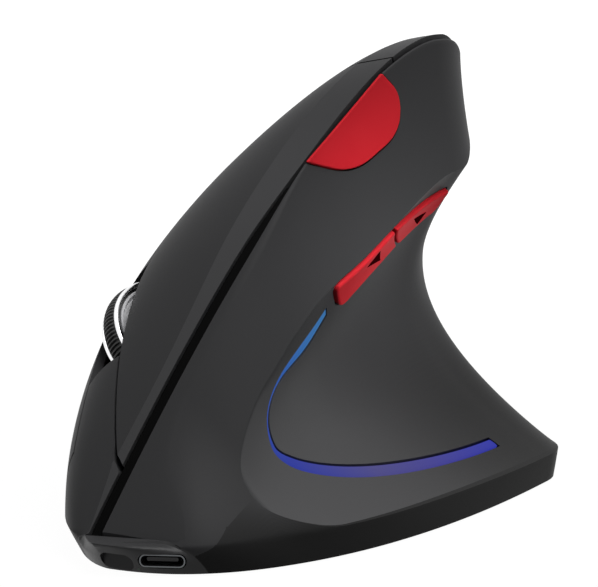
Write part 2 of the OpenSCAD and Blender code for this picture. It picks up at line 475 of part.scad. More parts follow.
module battery() color("#7d8890") block([-12, 5], [4, 27], [deck, deck + 6]);
module strip_led() color("#dfe6f5") block([8, 11], [-5, -1], [deck, deck + 1.9]);

// Charging socket on its own small board in the nose
module usb_board() color("#1f5a2e") at_port() block([-3.7, 3.7], [1.4, 10], [base_z + 0.4, base_z + 1]);
module usb_socket() color("#a9adb0") at_port() difference() {
  rounded_slot(7, 2.2, 0.4, 6);
  rounded_slot(6.4, 1.6, 0, 5);
}
module power_switch() color("#2b2b2b") difference() {
  block([slide_p[0] - 4.4, slide_p[0] + 4.4], [slide_p[1] - 2.2, slide_p[1] + 2.2], [floor_z + 0.3, board_z]);
  block([slide_p[0] - 3.2, slide_p[0] + 3.2], [slide_p[1] - 1.1, slide_p[1] + 1.1], [floor_z, floor_z + 2]);
}
module power_slider() color("#d8d8d8") translate([slide_p[0] - 1.5, slide_p[1], 0]) {
  block([-1.6, 1.6], [-1.5, 1.5], [base_z + 0.2, floor_z]);
  block([-0.8, 0.8], [-0.8, 0.8], [floor_z - 0.1, floor_z + 1.5]);
}

thumb_shell();
finger_shell();
ridge_band();
front_bezel();
base_plate();
glide_feet();
left_button();
right_button();
dpi_button();
forward_button();
back_button();
light_guide();
wheel_tyre();
wheel_rings();
wheel_hub();
wheel_axle();
wheel_cradle();
wheel_encoder();
wheel_switch();
button_board();
board_bracket();
left_switch();
right_switch();
left_plunger();
right_plunger();
side_board();
side_switches();
side_posts();
dpi_board();
dpi_switch();
dpi_post();
main_board();
board_screws();
base_screws();
sensor_chip();
sensor_lens();
battery();
strip_led();
usb_board();
usb_socket();
power_switch();
power_slider();
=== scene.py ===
import bpy
import numpy as np
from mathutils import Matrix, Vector


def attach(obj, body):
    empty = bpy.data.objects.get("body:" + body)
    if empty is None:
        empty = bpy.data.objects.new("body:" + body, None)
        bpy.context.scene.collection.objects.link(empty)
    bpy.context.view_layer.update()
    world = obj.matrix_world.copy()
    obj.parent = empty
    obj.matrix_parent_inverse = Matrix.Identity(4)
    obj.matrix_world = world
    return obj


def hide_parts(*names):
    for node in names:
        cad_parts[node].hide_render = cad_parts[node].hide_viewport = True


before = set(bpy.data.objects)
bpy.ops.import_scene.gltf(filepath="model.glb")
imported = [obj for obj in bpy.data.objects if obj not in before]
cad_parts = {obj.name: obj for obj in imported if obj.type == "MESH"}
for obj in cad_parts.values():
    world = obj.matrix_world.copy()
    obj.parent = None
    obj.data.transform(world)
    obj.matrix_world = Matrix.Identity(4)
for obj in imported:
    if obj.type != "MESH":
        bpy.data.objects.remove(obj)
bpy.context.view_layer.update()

# Thumb shell
# The half of the body under the thumb: one injection-moulded ABS shell, 2 mm thick, spark-textured satin
# charcoal. It has the deep thumb hollow, and it snaps and screws to the base plate and to the finger shell.

# In millimetres: both ends of the plan along and across, half of its width, the shift of its middle
NOSE_Y, HEEL_Y, NOSE_X, REAR_X, HALF_X, MID_X = -56.0, 56.0, -4.5, -9.5, 33.75, 0.94
# Widest stations of the plan, then the front end and the crown of the ridge, along and across
THUMB_WIDE, FINGER_WIDE, RIDGE_Y, CROWN_Y, RIDGE_X, CROWN_X = 34.0, 3.7, -51.5, 29.7, -7.8, 10.9
# Heights of the ridge at nose, heel and crown, of the skirt line and of the open rim
NOSE_Z, HEEL_Z, CROWN_Z, SKIRT, RIM = 5.0, 7.5, 75.6, 4.7, 0.3
# Depth of the thumb hollow, and where it starts, gets its full height and is deepest
HOLLOW, HOLLOW_FRONT, HOLLOW_TAPER, HOLLOW_DEEP = 16.4, -38.4, -27.0, 30.5
# Wall, and half of the groove on the ridge at the nose and of the seam behind it
WALL, BAND_HALF, SEAM_HALF = 2.0, 1.08, 0.22


def mix(a, b, t):
    """Straight line from a at t = 0 to b at t = 1."""
    return a + (b - a) * t


def clip(t):
    """Holds t between 0 and 1."""
    return np.clip(t, 0, 1)


def smooth(t):
    """The soft step 3t^2 - 2t^3 between 0 and 1."""
    return clip(t) ** 2 * (3 - 2 * clip(t))


def bow(t, n):
    """A superellipse quarter: the n-th root of 1 - |t|^n."""
    return np.maximum(1 - np.minimum(np.abs(t), 1) ** n, 0) ** (1 / n)


def unit(v):
    """Vectors divided by their own length."""
    return v / np.maximum(np.linalg.norm(v, axis=-1, keepdims=True), 1e-12)


def x_thumb(y):
    """Plan outline on the thumb side: two superellipse quarters that meet at its widest station."""
    front = NOSE_X + (HALF_X - NOSE_X) * bow((THUMB_WIDE - y) / (THUMB_WIDE - NOSE_Y), 2.36)
    rear = REAR_X + (HALF_X - REAR_X) * bow((y - THUMB_WIDE) / (HEEL_Y - THUMB_WIDE), 2.16)
    return np.where(y < THUMB_WIDE, front, rear)


def x_finger(y):
    """Plan outline on the finger side: two superellipse quarters that meet at its widest station."""
    front = NOSE_X - (HALF_X + NOSE_X) * bow((FINGER_WIDE - y) / (FINGER_WIDE - NOSE_Y), 1.56)
    rear = REAR_X - (HALF_X + REAR_X) * bow((y - FINGER_WIDE) / (HEEL_Y - FINGER_WIDE), 2.6)
    return np.where(y < FINGER_WIDE, front, rear)


def z_ridge(y):
    """Ridge in side view: a power curve up from the nose, a steep elliptic drop to the heel."""
    rise = 1 - clip((CROWN_Y - y) / (CROWN_Y - RIDGE_Y)) ** 1.6
    drop = np.sqrt(np.maximum(1 - clip((y - CROWN_Y) / (HEEL_Y - CROWN_Y)) ** 2.8, 0))
    return np.where(y < CROWN_Y, NOSE_Z + (CROWN_Z - NOSE_Z) * rise, HEEL_Z + (CROWN_Z - HEEL_Z) * drop)


def x_ridge(y):
    """Ridge in plan: nearly straight from nose to crown and kept inside the outline, then round to the heel,
    where it is drawn in by up to 2.9 mm."""
    run, q = (y - RIDGE_Y) / (CROWN_Y - RIDGE_Y), clip((y - CROWN_Y) / (HEEL_Y - CROWN_Y))
    a, b = x_finger(y), x_thumb(y)
    front = RIDGE_X + (CROWN_X - RIDGE_X) * run + 3.4 * run * (1 - run)
    front = np.minimum(np.maximum(front, mix(a, b, 0.15)), mix(a, b, 0.9))
    rear = REAR_X + (CROWN_X - REAR_X) * bow(q, 2) + 0.19 * (y - CROWN_Y) * (1 - q)
    return np.where(y < CROWN_Y, front, rear - 2.9 * smooth((y - 40) / 10) * bow(q, 4))


def band_half(y):
    """Half of the groove on the ridge, narrowing in a soft step to the seam behind it."""
    return mix(BAND_HALF, SEAM_HALF, smooth((y + 20) / 18))


def lip(y):
    """Width of the rounded lip beside the groove: 1 mm at the nose, 0.3 mm behind."""
    return mix(1.0, 0.3, smooth((y + 20) / 18))


def real(x, y, z):
    """A point of the form: below the skirt line the plan shrinks by up to 6 per cent towards the table."""
    k = 1 - 0.06 * np.maximum(1 - z / SKIRT, 0)
    return np.stack(np.broadcast_arrays(x * k + MID_X, y * k, z), -1)


def creases(y, least=0.4):
    """Lower and upper crease of the hollow: the upper one is a share of the ridge's height that changes in
    three soft steps, and towards the nose the two run together on a superellipse."""
    r = z_ridge(y)
    share = 0.732 - 0.07 * smooth((y + 22) / 26)
    share += 0.045 * smooth((y - 6) / 28) + 0.31 * smooth((y - 32) / 24)
    hi, lo = share * r, np.minimum(SKIRT, 0.35 * r)
    taper = bow(clip((HOLLOW_TAPER - y) / (HOLLOW_TAPER - HOLLOW_FRONT)), 2.2)
    half = np.maximum((hi - lo) / 2 * taper, least)
    return (hi + lo) / 2 - half, (hi + lo) / 2 + half


def hollow_depth(y):
    """Depth of the hollow along the length: nothing at its front, full near the crown, round to the heel."""
    front = (1 - clip((HOLLOW_DEEP - y) / (HOLLOW_DEEP - HOLLOW_FRONT)) ** 2.2) ** 0.9
    rear = np.sqrt(np.maximum(1 - clip((y - HOLLOW_DEEP) / (HEEL_Y - HOLLOW_DEEP)) ** 2.5, 0))
    return HOLLOW * np.where(y < HOLLOW_DEEP, front, rear)


def bulge(y):
    """The two exponents n and m of the rounded finger face, which change evenly from y = -40 to y = 30."""
    share = clip((y + 40) / 70)
    return mix(4.5, 0.85, share), mix(0.57, 0.49, share)


def round_x(y, s):
    """The rounded finger face at share s of the ridge's height: (1 - s^n)^m of the way to the outline."""
    n, m = bulge(y)
    x0 = x_ridge(y) - band_half(y)
    return x0 + (x_finger(y) - x0) * np.maximum(1 - s ** n, 0) ** m


def bevel_s(y):
    """Share of the height where the flat bevel beside the ridge begins, from the bevel's width in plan."""
    n, m = bulge(y)
    wide = (1.7 + 4.7 * smooth((y + 38) / 42)) * (1 - 0.6 * smooth((y - 22) / 14))
    r = clip(wide / np.maximum(x_ridge(y) - band_half(y) - x_finger(y), 1e-6))
    return np.maximum((1 - r ** (1 / m)) ** (1 / n), 0.5)


def finger_x(y, s):
    """The finger side in plan at share s: the rounded face up to the bevel, then straight to the groove."""
    b = bevel_s(y)
    flat = mix(round_x(y, b), x_ridge(y) - band_half(y), (s - b) / (1 - b))
    return np.minimum(np.where(s <= b, round_x(y, s), flat), x_ridge(y) - SEAM_HALF)


def thumb_face(y, z, hollow=1.0):
    """x over (y, z): a power curve from the lip to the foot, less a sine-shaped hollow between creases."""
    y, z = np.broadcast_arrays(np.asarray(y, float), np.asarray(z, float))
    x0, s = x_ridge(y) + band_half(y) + lip(y), z / z_ridge(y)
    g = 0.12 + 0.68 * smooth((y + 53) / 17) + 0.73 * smooth((y + 35) / 50)
    lo, hi = creases(y)
    dip = hollow_depth(y) * np.sin(np.pi * clip((z - lo) / (hi - lo)) ** 0.9) * hollow
    least = np.minimum(x_ridge(y) + SEAM_HALF, finger_x(y, clip(s)) + 2.6 * WALL)
    return real(np.maximum(x0 + (x_thumb(y) - x0) * np.maximum(1 - s, 0) ** g - dip, least), y, z)


def thumb_normal(y, z, hollow=1.0):
    """Outward normal of the thumb face, from differences over 0.2 mm."""
    return unit(np.cross(thumb_face(y + 0.1, z, hollow) - thumb_face(y - 0.1, z, hollow),
                         thumb_face(y, z + 0.1, hollow) - thumb_face(y, z - 0.1, hollow)))


def spans(*parts):
    """Stations joined from (start, end, count) runs; a fourth value bunches a run to its end on a sine."""
    runs = []
    for start, end, count, *bunch in parts:
        t = np.arange(count) / count
        runs.append(mix(start, end, np.sin(np.pi / 2 * t) if bunch else t))
    return np.concatenate([*runs, [parts[-1][1]]])


def thin(y):
    """Share of the wall kept at the nose and at the heel, where the two shells run together."""
    return mix(0.5, 1, smooth((y + 52.5) / 9)) * (1 - 0.68 * smooth((y - 47) / 6))


def thumb_grid():
    """Rows over the height at each station: skirt, hollow with rows gathered at both creases, upper face,
    and a lip rounded on a parabola; the inner grid lies one wall inside and turns down under the ridge."""
    y = spans((-51.2, -36, 44), (-36, 31, 150), (31, HEEL_Y, 56, 1))[:, None]
    r, top = z_ridge(y), z_ridge(y) - 0.9 * lip(y)
    lo, hi = creases(y, 2.2)
    u = np.linspace(0, 1, 73)[None, 1:]
    skirt = mix(RIM, lo, np.linspace(0, 1, 15)[None])
    hollow = mix(lo, hi, mix(u, (1 - np.cos(np.pi * u)) / 2, 0.75))
    upper = mix(hi, top, np.linspace(0, 1, 37)[None, 1:])
    z = np.concatenate([skirt, hollow, upper], 1)
    face = thumb_face(y, z)
    t = np.linspace(0, 1, 9)[None, 1:, None]
    start, end = face[:, -1:], real(x_ridge(y) + band_half(y), y, r)
    turn = np.concatenate([mix(start[..., :1], end[..., :1], 0.35), end[..., 1:]], -1)
    outer = np.concatenate([face, start * (1 - t) ** 2 + turn * 2 * t * (1 - t) + end * t * t], 1)
    height = np.concatenate([z, np.repeat(r, t.size, 1)], 1)
    inward = -thumb_normal(y, np.minimum(height, top), 0.0)
    inward[:, 0, 2] = 0
    down = (smooth((height - r + 8) / 7) * smooth((height / r - 0.5) / 0.4))[..., None]
    return outer, outer + WALL * thin(y)[..., None] * unit(mix(inward, np.array([0, 0, -1.0]), down))


def skin(outer, inner, keep=None):
    """A wall from two grids of one size, outside and inside, closed along the free edges of its cells."""
    n, m = outer.shape[:2]
    keep = np.ones((n - 1, m - 1), bool) if keep is None else keep
    at, k = np.arange(n * m).reshape(n, m), n * m
    a, b, c, d = at[:-1, :-1], at[:-1, 1:], at[1:, 1:], at[1:, :-1]
    near = np.pad(keep, 1)
    free = ((near[1:-1, :-2], a, d), (near[1:-1, 2:], c, b), (near[:-2, 1:-1], b, a), (near[2:, 1:-1], d, c))
    quads = [np.stack([a, b, c, d], -1)[keep], np.stack([a, d, c, b], -1)[keep] + k]
    quads += [np.stack([p, q, q + k, p + k], -1)[keep & ~there] for there, p, q in free]
    return np.concatenate([outer.reshape(-1, 3), inner.reshape(-1, 3)]), [np.concatenate(quads)]


SHARP = np.radians(24)


def build(name, points, faces, crease=None):
    """Puts points in millimetres and closed faces into a mesh, turned outwards by the sign of the volume.
    Edges turn sharp from 24 degrees on, and wherever both ends are marked as a crease."""
    volume = sum((points[f[:, 0]] * np.cross(points[f[:, i]], points[f[:, i + 1]])).sum()
                 for f in faces for i in range(1, f.shape[1] - 1))
    faces = [f[:, ::-1] if volume < 0 else f for f in faces]
    used, index = np.unique(np.concatenate([f.ravel() for f in faces]), return_inverse=True)
    counts = np.concatenate([np.full(len(f), f.shape[1]) for f in faces])
    mesh = bpy.data.meshes.new(name)
    mesh.vertices.add(len(used))
    mesh.vertices.foreach_set("co", (points[used] * 0.001).astype(np.float32).ravel())
    mesh.loops.add(len(index))
    mesh.loops.foreach_set("vertex_index", index.astype(np.int32))
    mesh.polygons.add(len(counts))
    mesh.polygons.foreach_set("loop_start", (np.cumsum(counts) - counts).astype(np.int32))
    mesh.polygons.foreach_set("use_smooth", np.ones(len(counts), bool))
    mesh.update(calc_edges=True)
    mesh.set_sharp_from_angle(angle=SHARP)
    if crease is not None:
        ends, sharp = np.empty(2 * len(mesh.edges), np.int32), np.empty(len(mesh.edges), bool)
        mesh.edges.foreach_get("vertices", ends)
        mesh.edges.foreach_get("use_edge_sharp", sharp)
        mesh.edges.foreach_set("use_edge_sharp", sharp | crease[used][ends].reshape(-1, 2).all(1))
    return mesh


def place(mesh, material, body, slot, *nodes):
    """Makes the piece from its mesh, on its body, in the stead of its nodes."""
    piece = bpy.data.objects.new(mesh.name, mesh)
    bpy.context.scene.collection.objects.link(piece)
    mesh.materials.append(material)
    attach(piece, body)
    if nodes:
        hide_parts(*nodes)
    return piece


def cut(mesh, *tools):
    """Takes closed tool meshes out of a closed mesh and returns what is left."""
    name = mesh.name
    block = bpy.data.objects.new(name, mesh)
    bpy.context.scene.collection.objects.link(block)
    knives = [bpy.data.objects.new(tool.name, tool) for tool in tools]
    for knife in knives:
        bpy.context.scene.collection.objects.link(knife)
        step = block.modifiers.new("cut", "BOOLEAN")
        step.object, step.operation, step.solver = knife, "DIFFERENCE", "EXACT"
    bpy.context.view_layer.update()
    left = bpy.data.meshes.new_from_object(block.evaluated_get(bpy.context.evaluated_depsgraph_get()))
    for spent in (block, *knives):
        bpy.data.meshes.remove(spent.data)
    left.name = name
    left.materials.clear()
    left.set_sharp_from_angle(angle=SHARP)
    return left


def evenly(line, count):
    """A count of points along a line, divided into equal steps by its length."""
    run = np.concatenate([[0], np.cumsum(np.linalg.norm(np.diff(line, axis=0), axis=1))])
    step = np.linspace(0, run[-1], count)
    return np.stack([np.interp(step, run, line[:, k]) for k in (0, 1)], -1)


def outline(corners, count=360):
    """A closed line in (y, z) from corners with a reach: each corner is a parabola between points that far
    along its two edges, and the whole is divided into equal steps."""
    p, reach = corners[:, :2], corners[:, 2:]
    u, v = np.roll(p, 1, 0) - p, np.roll(p, -1, 0) - p
    s = p + unit(u) * np.minimum(reach, np.linalg.norm(u, axis=1, keepdims=True) * 0.48)
    e = p + unit(v) * np.minimum(reach, np.linalg.norm(v, axis=1, keepdims=True) * 0.48)
    t = np.linspace(0, 1, 13)[None, :, None]
    line = (s[:, None] * (1 - t) ** 2 + p[:, None] * 2 * t * (1 - t) + e[:, None] * t * t).reshape(-1, 2)
    return evenly(np.concatenate([line, line[:1]]), count + 1)[:-1]


def grown(line, by):
    """A closed line moved sideways by a distance, outwards when positive."""
    t = unit(np.roll(line, -1, 0) - np.roll(line, 1, 0))
    return line + by * np.stack([t[:, 1], -t[:, 0]], -1)


def off_thumb(p, h):
    """Points (y, z) on the thumb face, raised by h along its normal."""
    return thumb_face(p[..., 0], p[..., 1]) + np.asarray(h)[..., None] * thumb_normal(p[..., 0], p[..., 1])


def capped(rings):
    """Closed rings joined one to the next, with a fan of triangles over the first and the last."""
    k, m = rings.shape[:2]
    at = np.arange(k * m).reshape(k, m)
    on = np.roll(at, -1, 1)
    first, last = np.full(m, k * m), np.full(m, k * m + 1)
    fans = np.concatenate([np.stack([first, on[0], at[0]], -1), np.stack([last, at[-1], on[-1]], -1)])
    points = np.concatenate([rings.reshape(-1, 3), rings[:1].mean(1), rings[-1:].mean(1)])
    return points, [np.stack([at[:-1], on[:-1], on[1:], at[1:]], -1).reshape(-1, 4), fans]


def pad(line, high, low, edge=0.0, rings=14):
    """A pad on the thumb face inside a closed line: a top at one height, an edge rounded to a quarter circle
    or left square, a wall down to a lower height and a bottom."""
    a = np.linspace(0, np.pi / 2, 7)[1:] if edge else np.array([np.pi / 2])
    middle = (line.min(0) + line.max(0)) / 2
    share = np.linspace(0, 1, rings + 1)[1:, None, None]
    top = (middle + (grown(line, -edge) - middle) * share)[:None if edge else -1]
    turn = np.stack([grown(line, -edge * (1 - np.sin(q))) for q in a])
    wall = np.repeat(line[None], 3, 0)
    foot = middle + (line - middle) * share[::-1][1:]
    level = np.concatenate([np.full(len(top), high), high - edge * (1 - np.cos(a)) - 1e-4,
                            mix(high - edge, low, np.array([0.4, 0.8, 1])), np.full(len(foot), low)])
    flat = np.concatenate([top, turn, wall, foot])
    return capped(off_thumb(flat, np.broadcast_to(level[:, None], flat.shape[:2])))


def under_ridge(*rows):
    """Corners given as (y, depth below the ridge, reach) turned to (y, z, reach)."""
    y, depth, reach = np.array(rows, float).T
    return np.stack([y, z_ridge(y) - depth, reach], -1)


def in_hollow(*rows):
    """Corners given as (y, share of the hollow's height, reach) turned to (y, z, reach)."""
    y, share, reach = np.array(rows, float).T
    return np.stack([y, mix(*creases(y), share), reach], -1)


def strip_loops(grow, high, low, count=150):
    """The light strip: two cubic arcs in (y, z), crowned across, 2.7 mm wide at the top, 0.45 mm at the
    bend, 1.65 mm after it and 0.9 mm at the end. Returns its rings and how far along each one is."""
    arcs = np.array([[[-2.8, 33.1], [-9, 24.5], [-27.4, 31.1], [-27.4, 15.8]],
                     [[-27.4, 15.8], [-27.4, 12.1], [-14.2, 7.6], [24.1, 8.1]]])
    t = np.linspace(0, 1, count)[:, None]
    a, b = [q[0] * (1 - t) ** 3 + 3 * q[1] * t * (1 - t) ** 2 + 3 * q[2] * t * t * (1 - t) + q[3] * t ** 3
            for q in arcs]
    line = evenly(np.concatenate([a, b[1:]]), 2 * count)
    along = unit(np.gradient(line, axis=0))
    line[0] -= grow * along[0]
    line[-1] += grow * along[-1]
    u = np.linspace(0, 1, 2 * count)
    wide = mix(2.7, 0.45, smooth((u - 0.03) / 0.31)) + 1.2 * smooth((u - 0.34) / 0.09)
    half = (wide - 0.75 * smooth((u - 0.43) / 0.57) ** 0.6) / 2 + grow
    q = np.linspace(-1, 1, 9)
    across = half[:, None] * np.concatenate([[-1], q, [1]])
    level = np.concatenate([[low], high - 0.12 * (grow == 0) * q ** 4, [low]])
    flat = line[:, None] + across[..., None] * np.stack([along[:, 1], -along[:, 0]], -1)[:, None]
    return off_thumb(flat, np.broadcast_to(level, flat.shape[:2])), u


def paint_shading(mesh, tone):
    """Writes painted light and shade, as a tone per face, on the first faces of a mesh and the middle tone
    on the others.
    """
    every = np.full(len(mesh.polygons), 0.5, np.float32)
    every[:len(tone)] = tone
    mesh.attributes.new("tone", "FLOAT", "FACE").data.foreach_set("value", every)
    return mesh


def thumb_painted_shading(mesh):
    """The painted light and shade of each face: painted light in the front of the hollow, painted shade at
    the back of its foot and down the skirt, each a product of soft steps along the length and over the
    height."""
    middle = np.empty(3 * len(mesh.polygons), np.float32)
    mesh.polygons.foreach_get("center", middle)
    y, z = middle.reshape(-1, 3)[:, 1:].T * 1000
    lo, hi = creases(y)
    u, behind = (z - lo) / (hi - lo), smooth((y + 46) / 10)
    reach = mix(0.05, 0.6, smooth((y + 30) / 20))
    light = smooth((1 - u) / reach) * smooth((y - HOLLOW_FRONT) / 1.5) * smooth((16 - y) / 48)
    foot = 0.8 * smooth((y + 2) / 34) * smooth((0.5 - u) / 0.35)
    skirt = smooth((mix(17, 9, behind) - z) / mix(15, 5, behind))
    return 0.5 + 0.5 * np.where(u > 0.01, light - foot, -skirt)


def linear(code):
    """An sRGB hex colour as linear light with alpha 1."""
    c = np.array([int(code[i:i + 2], 16) for i in (1, 3, 5)]) / 255
    return (*np.where(c <= 0.04045, c / 12.92, ((c + 0.055) / 1.055) ** 2.4), 1.0)


def add(tree, kind, inputs=(), **settings):
    """Adds one shader node: settings are its properties, inputs its sockets with a value or a link."""
    node = tree.nodes.new(kind)
    for key, value in settings.items():
        setattr(node, key, value)
    for key, value in dict(inputs).items():
        if isinstance(value, bpy.types.NodeSocket):
            tree.links.new(value, node.inputs[key])
        else:
            node.inputs[key].default_value = value
    return node


def surface(name):
    """A new material with an empty node tree, and the object coordinates its patterns lie on."""
    material = bpy.data.materials.new(name)
    material.use_nodes = True
    material.node_tree.nodes.clear()
    return material, material.node_tree, add(material.node_tree, "ShaderNodeTexCoord").outputs["Object"]


def graded(t, attribute, *stops):
    """Colours along an attribute of the piece: each stop is a place from 0 to 1 and an sRGB hex colour."""
    value = add(t, "ShaderNodeAttribute", attribute_name=attribute)
    ramp = add(t, "ShaderNodeValToRGB", {"Fac": value.outputs["Fac"]})
    for spot, code in stops[1:-1]:
        ramp.color_ramp.elements.new(spot).color = linear(code)
    ramp.color_ramp.elements[0].color = linear(stops[0][1])
    ramp.color_ramp.elements[-1].color = linear(stops[-1][1])
    return ramp.outputs[0]


def plastic(t, here, colour, rough, grain, bump, gloss):
    """Moulded plastic of a given colour: a spark grain, in millimetres, moves its roughness and its relief,
    which is a fifth of the grain deep."""
    spark = add(t, "ShaderNodeTexNoise", {"Vector": here, "Scale": 1000 / grain, "Detail": 2.0}).outputs[0]
    matt = add(t, "ShaderNodeMapRange", {"Value": spark, "To Min": rough - 0.06, "To Max": rough + 0.06})
    relief = add(t, "ShaderNodeBump", {"Height": spark, "Strength": bump, "Distance": grain / 5000})
    shader = add(t, "ShaderNodeBsdfPrincipled", {
        "Base Color": colour, "Roughness": matt.outputs[0], "Normal": relief.outputs[0],
        "IOR": 1.53, "Specular IOR Level": gloss})
    add(t, "ShaderNodeOutputMaterial", {"Surface": shader.outputs[0]})


# Satin charcoal ABS: dark, with a soft sheen and a fine grain. Its colour follows a tone of painted light
# and
# shade: painted light in the front of the thumb hollow and on the bevel beside the ridge, painted shade at
# the back of the hollow's foot and down the skirt.
charcoal, t, here = surface("satin_charcoal_abs")
painted_shading_ramp = graded(t, "tone", (0.0, "#181818"), (0.5, "#343435"), (1.0, "#4a4a4b"))
plastic(t, here, painted_shading_ramp, 0.5, 0.35, 0.12, 0.05)

cap_round = ((4.6, 9.6, 5), (17, 11.2, 4.5), (18.7, 5.5, 3.5))
cap_hole = outline(under_ridge((-5.3, -0.8, 0.3), *cap_round, (13.8, -0.8, 0.3)))
side_front = ((-6.6, 0.985, 1.8), (2.6, 0.765, 2.5), (13.6, 0.782, 9))
side_rear = ((30.6, 0.858, 1.2), (31.6, 0.934, 1.2), (22, 0.938, 4))
side_crest = (2, 0.985, 6)
side_hole = outline(in_hollow(*side_front, (20.4, 0.811, 2), *side_rear, (11.5, 0.985, 3), side_crest))
thumb_mesh = cut(build("thumb_moulding", *skin(*thumb_grid())),
                 build("cap_slot", *pad(grown(cap_hole, 0.3), 4, -5)),
                 build("side_slot", *pad(grown(side_hole, 0.35), 3, -5)),
                 build("strip_slot", *capped(strip_loops(0.2, 2, -4)[0])))
# The thumb shell's faces get painted light in the front of the hollow and painted shade on its foot and
# skirt.
place(paint_shading(thumb_mesh, thumb_painted_shading(thumb_mesh)), charcoal, "body", "shell", "thumb_shell")

# Light strip
# A clear acrylic light guide pressed into its groove from inside and lit from one end by a small source. It
# glows cyan-blue at the top, deep blue at the bend, violet under the thumb and blue again at its end.
STRIP_TOP, STRIP_BACK = -0.1, -2.6
strip_rings, strip_run = strip_loops(0, STRIP_TOP, STRIP_BACK)
strip_mesh = build("light_strip", *capped(strip_rings))
along = np.concatenate([np.repeat(strip_run, strip_rings.shape[1]), [0, 1]])
strip_mesh.attributes.new("along", "FLOAT", "POINT").data.foreach_set("value", along.astype(np.float32))
# Frosted acrylic, lit from within: an even glow that changes hue along its length, with a thin gloss.
glow, t, here = surface("lit_frosted_acrylic")
hues = graded(t, "along", (0.0, "#3a76b0"), (0.2, "#2f62ae"), (0.42, "#333fa4"), (0.62, "#504d8c"),
              (0.78, "#474498"), (1.0, "#3138ac"))
guide = add(t, "ShaderNodeBsdfPrincipled", {
    "Base Color": linear("#06060c"), "Roughness": 0.35, "IOR": 1.49, "Specular IOR Level": 0.02,
    "Emission Color": hues, "Emission Strength": 0.85})
add(t, "ShaderNodeOutputMaterial", {"Surface": guide.outputs[0]})
place(strip_mesh, glow, "body", "light", "light_guide")

# Cap button and side buttons
# Three red ABS caps: the pointer-speed cap beside the ridge and the forward and back buttons in the hollow.
# Each has a rounded edge and a stem behind it that presses its own small switch; two arrows are printed on.

# Top and back of the speed cap and of the side buttons off the thumb face, and the room that the speed cap
# keeps from the ridge, down to a depth below it
CAP_TOP, CAP_BACK, SIDE_TOP, SIDE_BACK, CAP_CLEAR, CAP_EDGE = 0.3, -0.8, 0.8, -2.4, 0.42, 4.0


def moulded(name, low, high, rough, grain, bump, gloss=0.3):
    """A plastic of two tones that lie in soft clouds of 6 mm."""
    material, t, here = surface(name)
    cloud = add(t, "ShaderNodeTexNoise", {"Vector": here, "Scale": 1000 / 6, "Detail": 3.0})
    tone = add(t, "ShaderNodeMix", {0: cloud.outputs[0], 6: linear(low), 7: linear(high)}, data_type="RGBA")
    plastic(t, here, tone.outputs[2], rough, grain, bump, gloss)
    return material


# Satin red ABS: an even, strong red with next to no shine.
red = moulded("satin_red_abs", "#be212b", "#c4272f", 0.55, 0.3, 0.06, 0.03)
cap_line = outline(under_ridge((-4.9, -0.35, 0.3), *cap_round, (14.2, -0.35, 0.4)))
cap_points, cap_faces = pad(cap_line, CAP_TOP, CAP_BACK, 0.15)
# The straight edge along the ridge stays clear of the left click plate, also when the cap is pressed in.
cap_x, cap_y, cap_z = cap_points.T
clear_x = np.maximum(cap_x, x_ridge(cap_y) + MID_X + CAP_CLEAR)
cap_points[:, 0] = np.where(cap_z > z_ridge(cap_y) - CAP_EDGE, clear_x, cap_x)
place(build("speed_cap", cap_points, cap_faces), red, "dpi_button", "red", "dpi_button")
forward_line = outline(in_hollow(*side_front, (20, 0.812, 0.7), (11.1, 0.985, 0.7), side_crest))
back_line = outline(in_hollow((11.9, 0.981, 0.7), (20.8, 0.808, 0.7), *side_rear))
forward_mesh, back_mesh = [build(name, *pad(line, SIDE_TOP, SIDE_BACK, 0.35)) for name, line in
                           (("forward_cap", forward_line), ("back_cap", back_line))]
place(forward_mesh, red, "forward_button", "red", "forward_button")
place(back_mesh, red, "back_button", "red", "back_button")
# Dark red pad-printed ink: a thin, matt film on the red.
ink = moulded("dark_red_print", "#2c0306", "#330507", 0.7, 0.2, 0.03, 0.0)
for name, body, *corners in (("forward_arrow", "forward_button", (5, 0.922), (13.8, 0.83), (7.3, 0.965)),
                             ("back_arrow", "back_button", (26.3, 0.882), (20.8, 0.909), (25.3, 0.842))):
    arrow = outline(in_hollow(*((*corner, 0.25) for corner in corners)), 90)
    place(build(name, *pad(arrow, SIDE_TOP + 0.03, SIDE_TOP - 0.1, 0.0, 6)), ink, body, "red")

# Finger shell
# The half under the fingers, of the same moulding and charcoal ABS: heel, foot strip, nose and the narrow
# strip that holds the wheel. Its two windows are filled by the click plates.

# Stations of the plates' rear seam and of their two tips, and the ends of the wheel slot
SEAM_REAR, TIP_LEFT, TIP_RIGHT, SLOT_A, SLOT_B = 18.5, -45.3, -40.0, -30.4, -13.0
# Height of the left plate's seam as a share of the ridge's height, the joint gap, and how far the inside of
# the wall is drawn back at the ends of the wheel slot
SEAM_S, GAP, UNDERCUT = 0.765, 0.4, 1.6


def finger_face(y, s):
    """The finger side at share s of the ridge's height; its edge stands up to 0.8 mm above the thumb side at
    the crown, by soft steps along the length and a square over the upper half."""
    y, s = np.broadcast_arrays(np.asarray(y, float), np.asarray(s, float))
    crown = 0.8 * smooth((y + 2) / 24) * (1 - smooth((y - 32) / 7)) * clip(2 * s - 1) ** 2
    return real(finger_x(y, s), y, s * z_ridge(y) + crown)


def finger_at(y, z):
    """The finger side at a height instead of a share."""
    return finger_face(y, clip(z / z_ridge(y)))


def finger_normal(y, s):
    """Outward normal of the finger face, from differences at constant height and at constant station."""
    z = np.minimum(s, 0.985) * z_ridge(y)
    up = finger_at(y, z + 0.05) - finger_at(y, z - 0.05)
    return unit(np.cross(up, finger_at(y + 0.1, z) - finger_at(y - 0.1, z)))


def seam_hi(y):
    """Lower edge of the left plate, as a share of the ridge's height: a power curve up to the tip."""
    return np.minimum(SEAM_S + (1 - SEAM_S) * clip((SEAM_REAR - y) / 63) ** 2.6, 0.98)


def seam_foot(y):
    """Lower edge of the right plate: a fifth of the height, and 5.2 mm at least."""
    return np.maximum(0.2, np.minimum(5.2 / z_ridge(y), 0.4))


